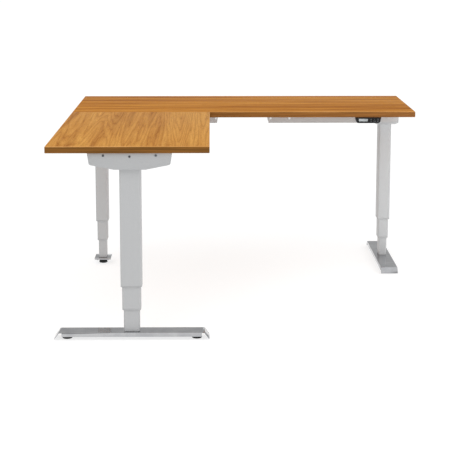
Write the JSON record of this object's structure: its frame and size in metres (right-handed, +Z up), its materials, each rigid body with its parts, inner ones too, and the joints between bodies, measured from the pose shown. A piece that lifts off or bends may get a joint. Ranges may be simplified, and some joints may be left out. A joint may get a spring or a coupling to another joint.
{
  "type": "height adjustable standing desk",
  "caption": "L-shaped desk with oak tops on telescopic silver columns, chrome feet, frame beams, drive units and a push-button handset under the front edge.",
  "frame": {"origin": "on the floor, under the centre of the bounding box of the whole desk", "axes": "+X to the right along the main top, +Y from the user to the back edge of the main top, +Z up; the return top runs towards -Y at the left"},
  "size_m": [1.5, 1.65, 0.733],
  "materials": {
    "main_top_oak": "satin lacquered oak laminate, grain along X",
    "return_top_oak": "satin lacquered oak laminate, grain along Y",
    "silver_powder_coat": "satin silver grey powder coat",
    "collar_plastic": "satin grey moulded plastic",
    "chrome_plate": "polished chrome plate",
    "zinc_steel": "zinc plated steel",
    "drive_housing": "black moulded housing",
    "black_abs": "fine textured black plastic",
    "button_caps": "satin black plastic",
    "display_window": "clear window over a silver grey display",
    "glide_rubber": "black rubber"
  },
  "bodies": {
    "right_base": {"right_foot": "chrome_plate", "right_inner_tube": "silver_powder_coat"},
    "desktop": {"main_top": "main_top_oak", "return_top": "return_top_oak", "seam_plate_outer": "zinc_steel", "seam_plate_inner": "zinc_steel", "main_beam_right": "silver_powder_coat", "main_beam_left": "silver_powder_coat", "main_inner_rail": "zinc_steel", "return_beam_front": "silver_powder_coat", "return_beam_rear": "silver_powder_coat", "return_inner_rail": "zinc_steel", "corner_joint_plate": "silver_powder_coat", "control_box_case": "black_abs", "control_box_lid": "black_abs", "handset_case": "black_abs", "handset_display": "display_window", "right_bracket": "silver_powder_coat", "right_drive_unit": "drive_housing", "right_outer_tube": "silver_powder_coat", "right_upper_collar": "collar_plastic", "corner_bracket": "silver_powder_coat", "corner_drive_unit": "drive_housing", "corner_outer_tube": "silver_powder_coat", "corner_upper_collar": "collar_plastic", "front_bracket": "silver_powder_coat", "front_drive_unit": "drive_housing", "front_outer_tube": "silver_powder_coat", "front_upper_collar": "collar_plastic"},
    "right_mid": {"right_middle_tube": "silver_powder_coat", "right_lower_collar": "collar_plastic", "right_drive_sleeve": "zinc_steel"},
    "right_spindle_turn": {"right_spindle": "zinc_steel"},
    "corner_mid": {"corner_middle_tube": "silver_powder_coat", "corner_lower_collar": "collar_plastic", "corner_drive_sleeve": "zinc_steel"},
    "corner_base": {"corner_foot": "chrome_plate", "corner_inner_tube": "silver_powder_coat"},
    "corner_spindle_turn": {"corner_spindle": "zinc_steel"},
    "front_mid": {"front_middle_tube": "silver_powder_coat", "front_lower_collar": "collar_plastic", "front_drive_sleeve": "zinc_steel"},
    "front_base": {"front_foot": "chrome_plate", "front_inner_tube": "silver_powder_coat"},
    "front_spindle_turn": {"front_spindle": "zinc_steel"},
    "right_glide_a_screw": {"right_glide_a": "glide_rubber"},
    "right_glide_b_screw": {"right_glide_b": "glide_rubber"},
    "corner_glide_screw": {"corner_glide": "glide_rubber"},
    "front_glide_a_screw": {"front_glide_a": "glide_rubber"},
    "front_glide_b_screw": {"front_glide_b": "glide_rubber"},
    "button_up_cap": {"button_up": "button_caps"},
    "button_memory_1_cap": {"button_memory_1": "button_caps"},
    "button_memory_2_cap": {"button_memory_2": "button_caps"},
    "button_down_cap": {"button_down": "button_caps"},
    "button_memory_3_cap": {"button_memory_3": "button_caps"},
    "button_store_cap": {"button_store": "button_caps"}
  },
  "joints": [
    {"name": "desk_lift", "type": "slide", "parent": "right_base", "child": "desktop", "axis": [0, 0, 1], "range_m": [-0.15, 0.5]},
    {"name": "right_mid_lift", "type": "slide", "parent": "right_base", "child": "right_mid", "axis": [0, 0, 1], "range_m": [-0.0751, 0.2501]},
    {"name": "corner_mid_lift", "type": "slide", "parent": "desktop", "child": "corner_mid", "axis": [0, 0, 1], "range_m": [-0.2501, 0.0751]},
    {"name": "corner_base_lift", "type": "slide", "parent": "desktop", "child": "corner_base", "axis": [0, 0, 1], "range_m": [-0.5002, 0.1502]},
    {"name": "front_mid_lift", "type": "slide", "parent": "desktop", "child": "front_mid", "axis": [0, 0, 1], "range_m": [-0.2501, 0.0751]},
    {"name": "front_base_lift", "type": "slide", "parent": "desktop", "child": "front_base", "axis": [0, 0, 1], "range_m": [-0.5002, 0.1502]},
    {"name": "right_spindle_spin", "type": "hinge", "parent": "desktop", "child": "right_spindle_turn", "pos_m": [0.652, 0.497, 0.6], "axis": [0, 0, 1], "range_deg": [-3377, 11252]},
    {"name": "corner_spindle_spin", "type": "hinge", "parent": "desktop", "child": "corner_spindle_turn", "pos_m": [-0.645, 0.46, 0.6], "axis": [0, 0, 1], "range_deg": [-3377, 11252]},
    {"name": "front_spindle_spin", "type": "hinge", "parent": "desktop", "child": "front_spindle_turn", "pos_m": [-0.442, -0.772, 0.6], "axis": [0, 0, 1], "range_deg": [-3377, 11252]},
    {"name": "right_glide_a_level", "type": "slide", "parent": "right_base", "child": "right_glide_a_screw", "axis": [0, 0, -1], "range_m": [0, 0.008]},
    {"name": "right_glide_b_level", "type": "slide", "parent": "right_base", "child": "right_glide_b_screw", "axis": [0, 0, -1], "range_m": [0, 0.008]},
    {"name": "corner_glide_level", "type": "slide", "parent": "corner_base", "child": "corner_glide_screw", "axis": [0, 0, -1], "range_m": [0, 0.008]},
    {"name": "front_glide_a_level", "type": "slide", "parent": "front_base", "child": "front_glide_a_screw", "axis": [0, 0, -1], "range_m": [0, 0.008]},
    {"name": "front_glide_b_level", "type": "slide", "parent": "front_base", "child": "front_glide_b_screw", "axis": [0, 0, -1], "range_m": [0, 0.008]},
    {"name": "button_up_press", "type": "slide", "parent": "desktop", "child": "button_up_cap", "axis": [0, 1, 0], "range_m": [0, 0.0008], "stiffness_N_per_m": 900},
    {"name": "button_memory_1_press", "type": "slide", "parent": "desktop", "child": "button_memory_1_cap", "axis": [0, 1, 0], "range_m": [0, 0.0008], "stiffness_N_per_m": 900},
    {"name": "button_memory_2_press", "type": "slide", "parent": "desktop", "child": "button_memory_2_cap", "axis": [0, 1, 0], "range_m": [0, 0.0008], "stiffness_N_per_m": 900},
    {"name": "button_down_press", "type": "slide", "parent": "desktop", "child": "button_down_cap", "axis": [0, 1, 0], "range_m": [0, 0.0008], "stiffness_N_per_m": 900},
    {"name": "button_memory_3_press", "type": "slide", "parent": "desktop", "child": "button_memory_3_cap", "axis": [0, 1, 0], "range_m": [0, 0.0008], "stiffness_N_per_m": 900},
    {"name": "button_store_press", "type": "slide", "parent": "desktop", "child": "button_store_cap", "axis": [0, 1, 0], "range_m": [0, 0.0008], "stiffness_N_per_m": 900}
  ],
  "couplings": [
    {"joint": "right_mid_lift", "follows": "desk_lift", "ratio": 0.5},
    {"joint": "corner_mid_lift", "follows": "desk_lift", "ratio": -0.5},
    {"joint": "corner_base_lift", "follows": "desk_lift", "ratio": -1},
    {"joint": "front_mid_lift", "follows": "desk_lift", "ratio": -0.5},
    {"joint": "front_base_lift", "follows": "desk_lift", "ratio": -1},
    {"joint": "right_spindle_spin", "follows": "desk_lift", "rad_per_m": 392.7},
    {"joint": "corner_spindle_spin", "follows": "desk_lift", "rad_per_m": 392.7},
    {"joint": "front_spindle_spin", "follows": "desk_lift", "rad_per_m": 392.7}
  ]
}
